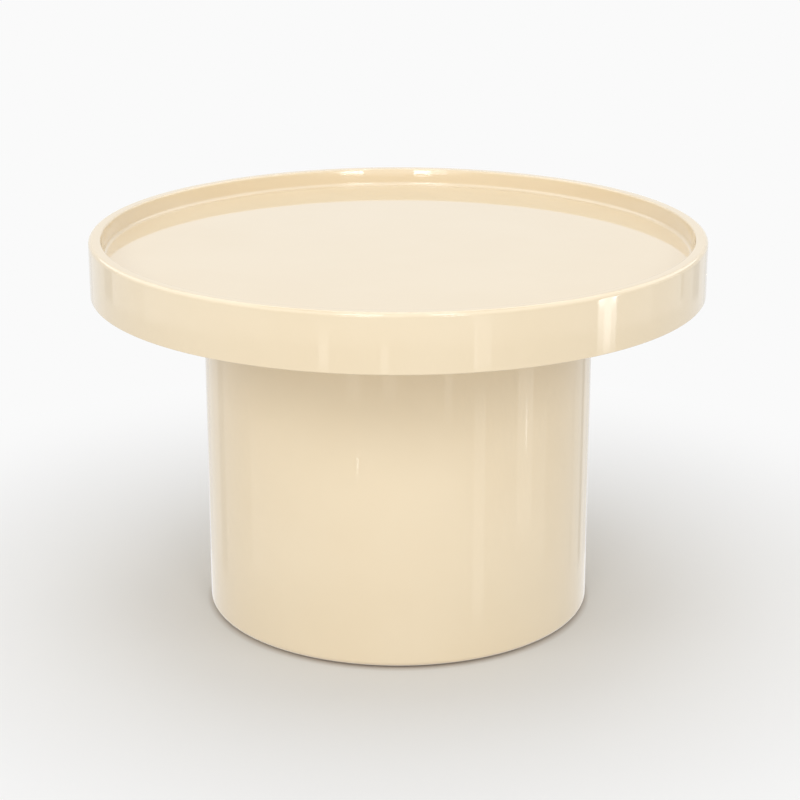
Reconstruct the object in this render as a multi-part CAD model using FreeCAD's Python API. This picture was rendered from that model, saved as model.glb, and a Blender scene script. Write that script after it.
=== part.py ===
import FreeCAD, Part

import math
import os

# Round side table: a shallow tray top with a raised rim on a wide drum, all in gloss-lacquered board.
# The tray is bolted to the drum from inside, and the drum stands on four levelling feet hidden behind
# its lower edge. Millimetres, +Z up, origin on the floor at the centre of the drum.

# Driving dimensions of the table
TOP_DIAMETER = 600.0
TABLE_HEIGHT = 380.0
BASE_DIAMETER = 382.0
FLOOR_GAP = 2.0

# Tray: rim, panel and the board that backs the panel
RIM_HEIGHT = 55.0
RIM_WALL = 12.0
RIM_OUTER_ROUND = 4.0
RIM_INNER_ROUND = 2.0
RIM_LOWER_ROUND = 1.0
TRAY_DEPTH = 18.0
TRAY_DRAFT = 2.0
TRAY_COVE = 4.0
LAP_WIDTH = 10.0
LAP_DEPTH = 6.0
PANEL_THICKNESS = 18.0

# Drum: bent shell, top plate, bottom ring and four uprights between them
SHELL_WALL = 12.0
SHELL_LOWER_ROUND = 5.0
SHELL_INNER_CHAMFER = 1.0
PLATE_THICKNESS = 18.0
RING_OPENING = 220.0
RING_OPENING_ROUND = 3.0
RING_HEIGHT_ABOVE_FLOOR = 20.0
UPRIGHT_WIDTH = 44.0
UPRIGHT_DEPTH = 28.0
UPRIGHT_COUNT = 4
GLUE_LINE = 0.1

# Bolts that hold the tray on the drum, with their washers, and the dowels that centre it
BOLT_COUNT = 4
BOLT_CIRCLE = 240.0
BOLT_FIRST_ANGLE = 45.0
BOLT_RADIUS = 4.0
BOLT_LENGTH = 35.0
BOLT_HOLE_RADIUS = 4.5
BOLT_HEAD_RADIUS = 7.0
BOLT_HEAD_HEIGHT = 4.4
BOLT_HEAD_DOME = 3.6
BOLT_SOCKET_WIDTH = 5.0
BOLT_SOCKET_DEPTH = 2.6
BOLT_TIP_CHAMFER = 1.0
WASHER_RADIUS = 12.0
WASHER_THICKNESS = 2.0
DOWEL_COUNT = 2
DOWEL_CIRCLE = 240.0
DOWEL_RADIUS = 5.0
DOWEL_LENGTH = 32.0
DOWEL_CHAMFER = 1.2
DOWEL_END_ROOM = 0.5

# Flanged threaded inserts, alike in the tray and in the bottom ring
INSERT_BORE_RADIUS = 4.05
INSERT_BARREL_RADIUS = 6.0
INSERT_LENGTH = 17.0
INSERT_FLANGE_RADIUS = 9.0
INSERT_FLANGE_THICKNESS = 1.5
INSERT_MOUTH_CHAMFER = 0.6
INSERT_END_ROOM = 0.5

# Countersunk wood screws through the plate and the ring into the ends of the uprights
SCREW_RADIUS = 2.5
SCREW_LENGTH = 50.0
SCREW_HEAD_RADIUS = 5.0
SCREW_TIP_LENGTH = 6.0
SCREW_FIT = 0.05
SCREW_SPACING = 20.0
SCREW_CIRCLE_RADIUS = 164.0
SCREW_RECESS_LENGTH = 5.0
SCREW_RECESS_WIDTH = 1.1
SCREW_RECESS_DEPTH = 2.0

# Levelling feet: a threaded stem whose ball end turns in a moulded pad
FOOT_COUNT = 4
FOOT_FIRST_ANGLE = 45.0
FOOT_CIRCLE_RADIUS = 156.0
PAD_RADIUS = 18.0
PAD_EDGE_HEIGHT = 4.0
PAD_EDGE_ROUND = 1.2
PAD_BOSS_RADIUS = 9.0
PAD_BOSS_HEIGHT = 12.0
PAD_BOSS_ROUND = 1.0
BALL_RADIUS = 5.5
BALL_HEIGHT = 8.6
BALL_FIT = 0.1
STEM_RADIUS = 4.0
STEM_LENGTH = 40.0
STEM_NECK_RADIUS = 3.2
STEM_TIP_CHAMFER = 1.0
STEM_SLOT_WIDTH = 1.4
STEM_SLOT_DEPTH = 2.2
COLLAR_WIDTH = 13.0
COLLAR_HEIGHT = 5.0
COLLAR_STOP_GAP = 0.3
HEX_CHAMFER_SLOPE = math.tan(math.radians(30.0))

# Radii and heights that follow from the driving dimensions
TOP_RADIUS = TOP_DIAMETER / 2
TRAY_RADIUS = TOP_RADIUS - RIM_WALL
LAP_RADIUS = TRAY_RADIUS - LAP_WIDTH
SHELL_RADIUS = BASE_DIAMETER / 2
DRUM_RADIUS = SHELL_RADIUS - SHELL_WALL
RIM_LOW = TABLE_HEIGHT - RIM_HEIGHT
TRAY_FLOOR = TABLE_HEIGHT - TRAY_DEPTH
LAP_LEVEL = TRAY_FLOOR - LAP_DEPTH
PANEL_LOW = TRAY_FLOOR - PANEL_THICKNESS
PLATE_LOW = RIM_LOW - PLATE_THICKNESS
RING_LOW = RING_HEIGHT_ABOVE_FLOOR
RING_TOP = RING_LOW + PLATE_THICKNESS
BOLT_SEAT = PLATE_LOW - WASHER_THICKNESS
COLLAR_LOW = RING_LOW - COLLAR_STOP_GAP - COLLAR_HEIGHT

ORIGIN = FreeCAD.Vector(0, 0, 0)
UP = FreeCAD.Vector(0, 0, 1)


# Shapes used by several pieces

def round_corner(before, corner, after):
    """Where a corner (r, z, round) of an outline starts, the middle of its arc, and where it ends."""
    point = FreeCAD.Vector(corner[0], 0, corner[1])
    if corner[2] == 0:
        return point, None, point
    to_before = (FreeCAD.Vector(before[0], 0, before[1]) - point).normalize()
    to_after = (FreeCAD.Vector(after[0], 0, after[1]) - point).normalize()
    half_angle = to_before.getAngle(to_after) / 2
    inward = (to_before + to_after).normalize()
    reach = corner[2] / math.tan(half_angle)
    depth = corner[2] / math.sin(half_angle) - corner[2]
    return point + to_before * reach, point + inward * depth, point + to_after * reach


def turned(corners):
    """A solid of revolution about Z from the corners (r, z, round) of its half section."""
    count = len(corners)
    rounds = [round_corner(corners[i - 1], corners[i], corners[(i + 1) % count]) for i in range(count)]
    edges = []
    for i, (start, middle, end) in enumerate(rounds):
        if middle is not None:
            edges.append(Part.Arc(start, middle, end).toShape())
        edges.append(Part.LineSegment(end, rounds[(i + 1) % count][0]).toShape())
    return Part.Face(Part.Wire(edges)).revolve(ORIGIN, UP, 360)


def disc(radius, low, high):
    return Part.makeCylinder(radius, high - low, FreeCAD.Vector(0, 0, low))


def hexagon(width, low, high):
    """A prism along Z, with this width across its flats."""
    corner_radius = width / math.sqrt(3)
    turns = [math.radians(60 * i) for i in range(7)]
    corners = [FreeCAD.Vector(corner_radius * math.cos(t), corner_radius * math.sin(t), low) for t in turns]
    return Part.Face(Part.makePolygon(corners)).extrude(UP * (high - low))


def moved(shape, x, y, z=0.0):
    copy = shape.copy()
    copy.translate(FreeCAD.Vector(x, y, z))
    return copy


def ring_of(shape, count, radius, first_angle=0.0):
    """Copies of a shape on the Z axis, moved out to a circle and turned to face along its radii."""
    copies = []
    for i in range(count):
        copy = moved(shape, radius, 0)
        copy.rotate(ORIGIN, UP, first_angle + 360.0 * i / count)
        copies.append(copy)
    return copies


def upended(shape, height):
    """A shape that stands on z = 0, turned over so that it hangs from this height."""
    copy = shape.copy()
    copy.rotate(ORIGIN, FreeCAD.Vector(1, 0, 0), 180)
    copy.translate(FreeCAD.Vector(0, 0, height))
    return copy


# Fasteners, each standing on z = 0

def threaded_insert():
    return turned([
        (INSERT_BORE_RADIUS + INSERT_MOUTH_CHAMFER, 0, 0),
        (INSERT_FLANGE_RADIUS, 0, 0),
        (INSERT_FLANGE_RADIUS, INSERT_FLANGE_THICKNESS, 0),
        (INSERT_BARREL_RADIUS, INSERT_FLANGE_THICKNESS, 0),
        (INSERT_BARREL_RADIUS, INSERT_LENGTH, 0),
        (INSERT_BORE_RADIUS, INSERT_LENGTH, 0),
        (INSERT_BORE_RADIUS, INSERT_MOUTH_CHAMFER, 0),
    ])


def insert_seat(depth):
    """The bore and counterbore that an insert is pressed into."""
    flange = disc(INSERT_FLANGE_RADIUS, 0, INSERT_FLANGE_THICKNESS)
    return disc(INSERT_BARREL_RADIUS, 0, depth).fuse(flange)


def button_bolt():
    """A button-head bolt, head down, with its hexagon socket."""
    top = BOLT_HEAD_HEIGHT + BOLT_LENGTH
    body = turned([
        (0, 0, 0),
        (BOLT_HEAD_RADIUS, 0, BOLT_HEAD_DOME),
        (BOLT_HEAD_RADIUS, BOLT_HEAD_HEIGHT, 0),
        (BOLT_RADIUS, BOLT_HEAD_HEIGHT, 0),
        (BOLT_RADIUS, top - BOLT_TIP_CHAMFER, 0),
        (BOLT_RADIUS - BOLT_TIP_CHAMFER, top, 0),
        (0, top, 0),
    ])
    return body.cut(hexagon(BOLT_SOCKET_WIDTH, 0, BOLT_SOCKET_DEPTH))


def washer():
    hole = disc(BOLT_HOLE_RADIUS, 0, WASHER_THICKNESS)
    return disc(WASHER_RADIUS, 0, WASHER_THICKNESS).cut(hole)


def screw_body(growth):
    """The outside of a countersunk screw, head down, larger all round by the fit of its hole."""
    shank = SCREW_RADIUS + growth
    head = SCREW_HEAD_RADIUS + growth
    return turned([
        (0, 0, 0),
        (head, 0, 0),
        (shank, head - shank, 0),
        (shank, SCREW_LENGTH - SCREW_TIP_LENGTH, 0),
        (0, SCREW_LENGTH + growth, 0),
    ])


def wood_screw():
    recess_corner = FreeCAD.Vector(-SCREW_RECESS_LENGTH / 2, -SCREW_RECESS_WIDTH / 2, 0)
    arm = Part.makeBox(SCREW_RECESS_LENGTH, SCREW_RECESS_WIDTH, SCREW_RECESS_DEPTH, recess_corner)
    cross_arm = arm.copy()
    cross_arm.rotate(ORIGIN, UP, 90)
    return screw_body(0).cut([arm, cross_arm])


def at_uprights(screw):
    """A screw, or its hole, at both places on the end of every upright."""
    copies = []
    for side in (-SCREW_SPACING / 2, SCREW_SPACING / 2):
        copies += ring_of(moved(screw, 0, side), UPRIGHT_COUNT, SCREW_CIRCLE_RADIUS)
    return copies


def dowel():
    return turned([
        (0, 0, 0),
        (DOWEL_RADIUS - DOWEL_CHAMFER, 0, 0),
        (DOWEL_RADIUS, DOWEL_CHAMFER, 0),
        (DOWEL_RADIUS, DOWEL_LENGTH - DOWEL_CHAMFER, 0),
        (DOWEL_RADIUS - DOWEL_CHAMFER, DOWEL_LENGTH, 0),
        (0, DOWEL_LENGTH, 0),
    ])


# Tray

def tray_rim():
    """The hoop of the tray: a wall that leans out, a cove into the tray's floor, and a lap for the panel."""
    return turned([
        (TOP_RADIUS, RIM_LOW, RIM_LOWER_ROUND),
        (TOP_RADIUS, TABLE_HEIGHT, RIM_OUTER_ROUND),
        (TRAY_RADIUS, TABLE_HEIGHT, RIM_INNER_ROUND),
        (TRAY_RADIUS - TRAY_DRAFT, TRAY_FLOOR, TRAY_COVE),
        (LAP_RADIUS, TRAY_FLOOR, 0),
        (LAP_RADIUS, LAP_LEVEL, 0),
        (TRAY_RADIUS, LAP_LEVEL, 0),
        (TRAY_RADIUS, RIM_LOW, 0),
    ])


def tray_panel():
    """The tray's floor, rebated round its edge so that it fits up into the rim's lap."""
    return turned([
        (0, PANEL_LOW, 0),
        (TRAY_RADIUS - GLUE_LINE, PANEL_LOW, 0),
        (TRAY_RADIUS - GLUE_LINE, LAP_LEVEL, 0),
        (LAP_RADIUS - GLUE_LINE, LAP_LEVEL, 0),
        (LAP_RADIUS - GLUE_LINE, TRAY_FLOOR, 0),
        (0, TRAY_FLOOR, 0),
    ])


def tray_backing_board():
    """The board glued under the panel, flush with the rim, that takes the inserts and the dowels."""
    board = disc(TRAY_RADIUS - GLUE_LINE, RIM_LOW, PANEL_LOW)
    seat = moved(insert_seat(INSERT_LENGTH + INSERT_END_ROOM), 0, 0, RIM_LOW)
    dowel_hole = disc(DOWEL_RADIUS, RIM_LOW, RIM_LOW + DOWEL_LENGTH / 2 + DOWEL_END_ROOM)
    seats = ring_of(seat, BOLT_COUNT, BOLT_CIRCLE / 2, BOLT_FIRST_ANGLE)
    return board.cut(seats + ring_of(dowel_hole, DOWEL_COUNT, DOWEL_CIRCLE / 2))


def on_bolt_circle(shape, height):
    return Part.Compound(ring_of(moved(shape, 0, 0, height), BOLT_COUNT, BOLT_CIRCLE / 2, BOLT_FIRST_ANGLE))


def locating_dowels():
    standing = moved(dowel(), 0, 0, RIM_LOW - DOWEL_LENGTH / 2)
    return Part.Compound(ring_of(standing, DOWEL_COUNT, DOWEL_CIRCLE / 2))


# Drum

def base_shell():
    return turned([
        (DRUM_RADIUS + SHELL_INNER_CHAMFER, FLOOR_GAP, 0),
        (SHELL_RADIUS, FLOOR_GAP, SHELL_LOWER_ROUND),
        (SHELL_RADIUS, RIM_LOW, 0),
        (DRUM_RADIUS, RIM_LOW, 0),
        (DRUM_RADIUS, FLOOR_GAP + SHELL_INNER_CHAMFER, 0),
    ])


def base_top_plate():
    plate = disc(DRUM_RADIUS - GLUE_LINE, PLATE_LOW, RIM_LOW)
    bolt_hole = disc(BOLT_HOLE_RADIUS, PLATE_LOW, RIM_LOW)
    dowel_hole = disc(DOWEL_RADIUS, RIM_LOW - DOWEL_LENGTH / 2 - DOWEL_END_ROOM, RIM_LOW)
    holes = ring_of(bolt_hole, BOLT_COUNT, BOLT_CIRCLE / 2, BOLT_FIRST_ANGLE)
    holes += ring_of(dowel_hole, DOWEL_COUNT, DOWEL_CIRCLE / 2)
    return plate.cut(holes + at_uprights(upended(screw_body(SCREW_FIT), RIM_LOW)))


def base_bottom_ring():
    opening = RING_OPENING / 2
    ring = turned([
        (opening, RING_LOW, RING_OPENING_ROUND),
        (DRUM_RADIUS - GLUE_LINE, RING_LOW, 0),
        (DRUM_RADIUS - GLUE_LINE, RING_TOP, 0),
        (opening, RING_TOP, RING_OPENING_ROUND),
    ])
    seat = moved(insert_seat(PLATE_THICKNESS), 0, 0, RING_LOW)
    seats = ring_of(seat, FOOT_COUNT, FOOT_CIRCLE_RADIUS, FOOT_FIRST_ANGLE)
    return ring.cut(seats + at_uprights(moved(screw_body(SCREW_FIT), 0, 0, RING_LOW)))


def base_uprights():
    """Battens from the ring to the plate, with their backs curved to the shell and a pilot hole per screw."""
    batten = Part.makeBox(
        UPRIGHT_DEPTH, UPRIGHT_WIDTH, PLATE_LOW - RING_TOP,
        FreeCAD.Vector(DRUM_RADIUS - UPRIGHT_DEPTH, -UPRIGHT_WIDTH / 2, RING_TOP),
    )
    batten = batten.common(disc(DRUM_RADIUS - GLUE_LINE, RING_TOP, PLATE_LOW))
    hole = screw_body(SCREW_FIT)
    for side in (-SCREW_SPACING / 2, SCREW_SPACING / 2):
        upper = moved(upended(hole, RIM_LOW), SCREW_CIRCLE_RADIUS, side)
        lower = moved(hole, SCREW_CIRCLE_RADIUS, side, RING_LOW)
        batten = batten.cut([upper, lower])
    return ring_of(batten, UPRIGHT_COUNT, 0)


# Levelling feet

def leveller_pad():
    """The moulded pad, with a socket that closes over more than half of the stem's ball."""
    body = turned([
        (0, 0, 0),
        (PAD_RADIUS, 0, PAD_EDGE_ROUND),
        (PAD_RADIUS, PAD_EDGE_HEIGHT, PAD_EDGE_ROUND),
        (PAD_BOSS_RADIUS, PAD_BOSS_HEIGHT, PAD_BOSS_ROUND),
        (0, PAD_BOSS_HEIGHT, 0),
    ])
    return body.cut(Part.makeSphere(BALL_RADIUS + BALL_FIT, FreeCAD.Vector(0, 0, BALL_HEIGHT)))


def leveller_stem():
    """The threaded stem: ball, neck, hexagon collar for a spanner, and a slotted tip."""
    collar_top = COLLAR_LOW + COLLAR_HEIGHT
    tip = collar_top + STEM_LENGTH
    corner_radius = COLLAR_WIDTH / math.sqrt(3)
    corner_drop = (corner_radius - COLLAR_WIDTH / 2) * HEX_CHAMFER_SLOPE
    rounding = turned([
        (0, COLLAR_LOW, 0),
        (COLLAR_WIDTH / 2, COLLAR_LOW, 0),
        (corner_radius, COLLAR_LOW + corner_drop, 0),
        (corner_radius, collar_top - corner_drop, 0),
        (COLLAR_WIDTH / 2, collar_top, 0),
        (0, collar_top, 0),
    ])
    collar = hexagon(COLLAR_WIDTH, COLLAR_LOW, collar_top).common(rounding)
    ball = Part.makeSphere(BALL_RADIUS, FreeCAD.Vector(0, 0, BALL_HEIGHT))
    neck = disc(STEM_NECK_RADIUS, BALL_HEIGHT, COLLAR_LOW)
    thread = turned([
        (0, collar_top, 0),
        (STEM_RADIUS, collar_top, 0),
        (STEM_RADIUS, tip - STEM_TIP_CHAMFER, 0),
        (STEM_RADIUS - STEM_TIP_CHAMFER, tip, 0),
        (0, tip, 0),
    ])
    slot_corner = FreeCAD.Vector(-STEM_RADIUS, -STEM_SLOT_WIDTH / 2, tip - STEM_SLOT_DEPTH)
    slot = Part.makeBox(2 * STEM_RADIUS, STEM_SLOT_WIDTH, STEM_SLOT_DEPTH, slot_corner)
    return ball.fuse([neck, collar, thread]).cut(slot)


def at_feet(shape):
    return ring_of(shape, FOOT_COUNT, FOOT_CIRCLE_RADIUS, FOOT_FIRST_ANGLE)


# Assembly

def pieces():
    """Every piece of the table in place, by name."""
    screw = wood_screw()
    insert = threaded_insert()
    named = {
        "tray_rim": tray_rim(),
        "tray_panel": tray_panel(),
        "tray_backing_board": tray_backing_board(),
        "tray_inserts": on_bolt_circle(insert, RIM_LOW),
        "fixing_bolts": on_bolt_circle(button_bolt(), BOLT_SEAT - BOLT_HEAD_HEIGHT),
        "fixing_washers": on_bolt_circle(washer(), BOLT_SEAT),
        "locating_dowels": locating_dowels(),
        "base_shell": base_shell(),
        "base_top_plate": base_top_plate(),
        "base_bottom_ring": base_bottom_ring(),
        "upper_frame_screws": Part.Compound(at_uprights(upended(screw, RIM_LOW))),
        "lower_frame_screws": Part.Compound(at_uprights(moved(screw, 0, 0, RING_LOW))),
        "leveller_inserts": Part.Compound(at_feet(moved(insert, 0, 0, RING_LOW))),
    }
    for name, copies in (
        ("base_upright", base_uprights()),
        ("leveller_stem", at_feet(leveller_stem())),
        ("leveller_pad", at_feet(leveller_pad())),
    ):
        for number, copy in enumerate(copies, start=1):
            named[f"{name}_{number}"] = copy
    return named


def main():
    os.makedirs("parts", exist_ok=True)
    for name, shape in pieces().items():
        shape.exportStep(os.path.join("parts", name + ".step"))
        print(f"{name}: {len(shape.Solids)} solids, valid {shape.isValid()}, {shape.Volume / 1000:.2f} cm3")


main()
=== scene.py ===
import math
from typing import NamedTuple

import bmesh
import bpy
from bpy.props import FloatProperty, FloatVectorProperty, IntProperty, PointerProperty
from mathutils import Matrix, Vector


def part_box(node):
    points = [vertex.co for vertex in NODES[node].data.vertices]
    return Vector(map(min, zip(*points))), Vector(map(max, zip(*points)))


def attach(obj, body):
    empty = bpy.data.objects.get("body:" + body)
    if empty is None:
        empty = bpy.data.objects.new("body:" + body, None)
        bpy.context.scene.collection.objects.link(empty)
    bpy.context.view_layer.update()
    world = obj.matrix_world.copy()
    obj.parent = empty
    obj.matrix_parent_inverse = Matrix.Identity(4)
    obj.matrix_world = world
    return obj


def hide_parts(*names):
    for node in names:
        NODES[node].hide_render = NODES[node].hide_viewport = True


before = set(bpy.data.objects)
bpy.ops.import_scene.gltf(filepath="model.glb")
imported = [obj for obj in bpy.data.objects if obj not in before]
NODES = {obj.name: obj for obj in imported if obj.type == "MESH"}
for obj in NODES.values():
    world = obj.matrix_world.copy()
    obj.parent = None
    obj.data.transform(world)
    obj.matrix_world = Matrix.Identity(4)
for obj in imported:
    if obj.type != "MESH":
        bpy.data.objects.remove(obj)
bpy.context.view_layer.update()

# Round side table: a gloss-lacquered tray on a drum, with boards, bolts and levelling feet inside.
# Metres, +Z up, origin on the floor at the centre of the drum.

bl_info = {
    "name": "Round Side Table",
    "version": (1, 0, 0),
    "blender": (4, 5, 0),
    "location": "View3D > Sidebar > Side Table",
    "description": "Builds a lacquered round side table, its inner hardware and a plain studio",
    "category": "Add Mesh",
}

TABLE_BODY = "table"
UPRIGHT_NUMBERS = (1, 2, 3, 4)
FOOT_NUMBERS = (1, 2, 3, 4)


# Measures read from the frame

def outer_radius(node):
    """How far a node reaches from the Z axis at rest."""
    return max(v.co.xy.length for v in NODES[node].data.vertices)


def inner_radius(node):
    """How near a node comes to the Z axis at rest."""
    return min(v.co.xy.length for v in NODES[node].data.vertices)


def low_of(node):
    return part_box(node)[0].z


def top_of(node):
    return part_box(node)[1].z


def foot_place(number):
    """The point on the floor under a levelling foot."""
    low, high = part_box(f"leveller_pad_{number}")
    centre = (low + high) / 2
    return Vector((centre.x, centre.y, 0.0))


# Settings that a user would change

class TrayShape(bpy.types.PropertyGroup):
    """Sizes of the tray's rim and floor"""
    wall: FloatProperty(
        name="Rim wall", description="Thickness of the tray's rim",
        default=0.012, min=0.004, unit="LENGTH")
    depth: FloatProperty(
        name="Tray depth", description="Height of the rim above the tray's floor",
        default=0.018, min=0.004, unit="LENGTH")
    outer_round: FloatProperty(
        name="Outer edge", description="Rounding of the rim's outer top edge",
        default=0.004, unit="LENGTH")
    inner_round: FloatProperty(
        name="Inner edge", description="Rounding of the rim's inner top edge",
        default=0.002, unit="LENGTH")
    lower_round: FloatProperty(
        name="Lower edge", description="Rounding of the rim's lower edge",
        default=0.001, unit="LENGTH")
    draft: FloatProperty(
        name="Draft", description="How far the rim's inner wall leans out from foot to edge",
        default=0.002, unit="LENGTH", precision=4)
    cove: FloatProperty(
        name="Cove", description="Radius of the cove from the rim into the tray's floor",
        default=0.004, unit="LENGTH")
    lap_width: FloatProperty(
        name="Lap width", description="Width of the lap that holds the panel",
        default=0.010, unit="LENGTH")
    lap_depth: FloatProperty(
        name="Lap depth", description="Thickness of the lap that holds the panel",
        default=0.006, unit="LENGTH")
    segments: IntProperty(
        name="Segments", description="Steps round the tray and the drum", default=384, min=64)


class DrumShape(bpy.types.PropertyGroup):
    """Sizes of the drum's lower edge"""
    lower_round: FloatProperty(
        name="Lower edge", description="Rounding of the drum's outer lower edge",
        default=0.005, unit="LENGTH")
    inner_chamfer: FloatProperty(
        name="Inner chamfer", description="Chamfer of the drum's inner lower edge",
        default=0.001, unit="LENGTH")


class LacquerFinish(bpy.types.PropertyGroup):
    """Colour and gloss of the lacquer"""
    light_colour: FloatVectorProperty(
        name="Light cream", description="Lightest tone of the lacquer",
        default=(0.869, 0.730, 0.517), subtype="COLOR", min=0.0, max=1.0)
    deep_colour: FloatVectorProperty(
        name="Deep cream", description="Deepest tone of the lacquer",
        default=(0.856, 0.713, 0.497), subtype="COLOR", min=0.0, max=1.0)
    smoothest: FloatProperty(
        name="Smoothest", description="Lowest roughness of the polished lacquer",
        default=0.03, subtype="FACTOR")
    roughest: FloatProperty(
        name="Roughest", description="Highest roughness of the polished lacquer",
        default=0.05, subtype="FACTOR")
    coat_weight: FloatProperty(
        name="Clear coat", description="Strength of the polished clear coat",
        default=0.3, subtype="FACTOR")
    coat_roughness: FloatProperty(
        name="Coat roughness", description="Roughness of the polished clear coat",
        default=0.03, subtype="FACTOR")
    peel_depth: FloatProperty(
        name="Peel depth", description="Depth of the sprayed lacquer's fine ripple",
        default=0.00001, unit="LENGTH", precision=6)
    peel_scale: FloatProperty(
        name="Peel scale", description="Ripples per metre of the sprayed lacquer", default=420.0)


class HardwareShape(bpy.types.PropertyGroup):
    """Thread and colours of the hardware"""
    thread_pitch: FloatProperty(
        name="Thread pitch", description="Pitch of the bolts and levelling stems",
        default=0.00125, unit="LENGTH", precision=5)
    thread_depth: FloatProperty(
        name="Thread depth", description="Depth of that thread",
        default=0.00062, unit="LENGTH", precision=5)
    steel_colour: FloatVectorProperty(
        name="Zinc plate", description="Colour of the plated steel",
        default=(0.60, 0.62, 0.64), subtype="COLOR", min=0.0, max=1.0)
    nylon_colour: FloatVectorProperty(
        name="Nylon", description="Colour of the moulded pads",
        default=(0.022, 0.022, 0.024), subtype="COLOR", min=0.0, max=1.0)


class StudioSetup(bpy.types.PropertyGroup):
    """Camera, floor and background of the studio"""
    lens: FloatProperty(
        name="Lens", description="Focal length of the camera, in millimetres", default=97.785)
    distance: FloatProperty(
        name="Distance", description="Distance of the camera in front of the drum's axis",
        default=2.0669, unit="LENGTH")
    height: FloatProperty(
        name="Height", description="Height of the camera above the floor",
        default=0.8766, unit="LENGTH")
    pitch: FloatProperty(
        name="Pitch", description="How far the camera looks down",
        default=math.radians(17.982), unit="ROTATION")
    yaw: FloatProperty(
        name="Yaw", description="How far the camera turns to the right",
        default=math.radians(0.049), unit="ROTATION")
    floor_colour: FloatVectorProperty(
        name="Floor", description="Colour of the pale floor",
        default=(0.742, 0.740, 0.727), subtype="COLOR", min=0.0, max=1.0)
    backdrop_level: FloatProperty(
        name="Backdrop", description="Brightness of the white distance behind the floor",
        default=0.956)
    mirror_level: FloatProperty(
        name="Mirrored white", description="Brightness of the white surroundings in the gloss",
        default=1.0)
    sky_level: FloatProperty(
        name="Sky", description="Strength of the even light all round", default=0.464)


class SideTableSettings(bpy.types.PropertyGroup):
    """All settings of the side table"""
    tray: PointerProperty(type=TrayShape)
    drum: PointerProperty(type=DrumShape)
    lacquer: PointerProperty(type=LacquerFinish)
    hardware: PointerProperty(type=HardwareShape)
    studio: PointerProperty(type=StudioSetup)


# Meshes

SHARP_ANGLE = math.radians(32.0)
ARC_STEPS = 12
EDGE_HOLD = 0.0002
POINTS_PER_ROUND = ARC_STEPS + 3
ANGLE_DIGITS = 6
THREAD_ROWS_PER_TURN = 8
BALL_STEPS = 14
HAIR = 1e-9


def rounded_section(corners):
    """Points (r, z) of a half section whose corners (r, z, round) are rounded by arcs.

    A point just outside each end of an arc keeps the shading of the straight run beside it flat.
    """
    points = []
    count = len(corners)
    for i, (r, z, radius) in enumerate(corners):
        corner = Vector((r, z))
        if radius == 0:
            points.append((r, z))
            continue
        to_before = (Vector(corners[i - 1][:2]) - corner).normalized()
        to_after = (Vector(corners[(i + 1) % count][:2]) - corner).normalized()
        half_angle = to_before.angle(to_after) / 2
        centre = corner + (to_before + to_after).normalized() * (radius / math.sin(half_angle))
        reach = radius / math.tan(half_angle)
        start = corner + to_before * reach - centre
        end = corner + to_after * reach - centre
        turn = start.angle_signed(end)
        points.append(tuple(corner + to_before * (reach + EDGE_HOLD)))
        for k in range(ARC_STEPS + 1):
            spoke = start.copy()
            spoke.rotate(Matrix.Rotation(-turn * k / ARC_STEPS, 2))
            points.append(tuple(centre + spoke))
        points.append(tuple(corner + to_after * (reach + EDGE_HOLD)))
    return points


def even_angles(steps, *corners):
    """Angles round a circle in even steps, and those at which a shape has its corners."""
    even = [2 * math.pi * i / steps for i in range(steps)]
    return sorted({round(angle % (2 * math.pi), ANGLE_DIGITS) for angle in (*even, *corners)})


def swept_mesh(rows, angles, closed=False):
    """A mesh round the Z axis through rows (radius, z).

    A radius may be a function of the angle, and a radius of 0 is a single point on the axis.
    """
    steps = len(angles)
    vertices = []
    rings = []
    for radius, z in rows:
        first = len(vertices)
        if not callable(radius) and radius == 0:
            vertices.append((0.0, 0.0, z))
        else:
            for a in angles:
                r = radius(a) if callable(radius) else radius
                vertices.append((r * math.cos(a), r * math.sin(a), z))
        rings.append(range(first, len(vertices)))
    pairs = list(zip(rings, rings[1:]))
    if closed:
        pairs.append((rings[-1], rings[0]))
    faces = []
    for lower, upper in pairs:
        for i in range(steps):
            j = (i + 1) % steps
            if len(lower) == 1:
                faces.append((lower[0], upper[j], upper[i]))
            elif len(upper) == 1:
                faces.append((lower[i], lower[j], upper[0]))
            else:
                faces.append((lower[i], lower[j], upper[j], upper[i]))
    mesh = bpy.data.meshes.new("piece")
    mesh.from_pydata(vertices, [], faces)
    return mesh


def joined_copies(mesh, places):
    """One mesh with a copy of another at each of these matrices."""
    builder = bmesh.new()
    for place in places:
        copy = mesh.copy()
        copy.transform(place)
        builder.from_mesh(copy)
        bpy.data.meshes.remove(copy)
    builder.to_mesh(mesh)
    builder.free()
    return mesh


def ring_places(count, radius, height, first_angle=0.0, side=0.0):
    """Matrices that stand a piece at even places on a circle, or a little to one side of them."""
    place = Matrix.Translation((radius, side, height))
    turns = [math.radians(first_angle + 360.0 * i / count) for i in range(count)]
    return [Matrix.Rotation(turn, 4, "Z") @ place for turn in turns]


def cut_away(mesh, tool_mesh):
    """What is left of a mesh when another is cut out of it. Both are used up."""
    target = bpy.data.objects.new("target", mesh)
    tool = bpy.data.objects.new("tool", tool_mesh)
    for thing in (target, tool):
        bpy.context.scene.collection.objects.link(thing)
    cut = target.modifiers.new("cut", "BOOLEAN")
    cut.object = tool
    evaluated = target.evaluated_get(bpy.context.evaluated_depsgraph_get())
    left = bpy.data.meshes.new_from_object(evaluated)
    for thing in (target, tool):
        bpy.data.objects.remove(thing)
    for used in (mesh, tool_mesh):
        bpy.data.meshes.remove(used)
    return left


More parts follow.
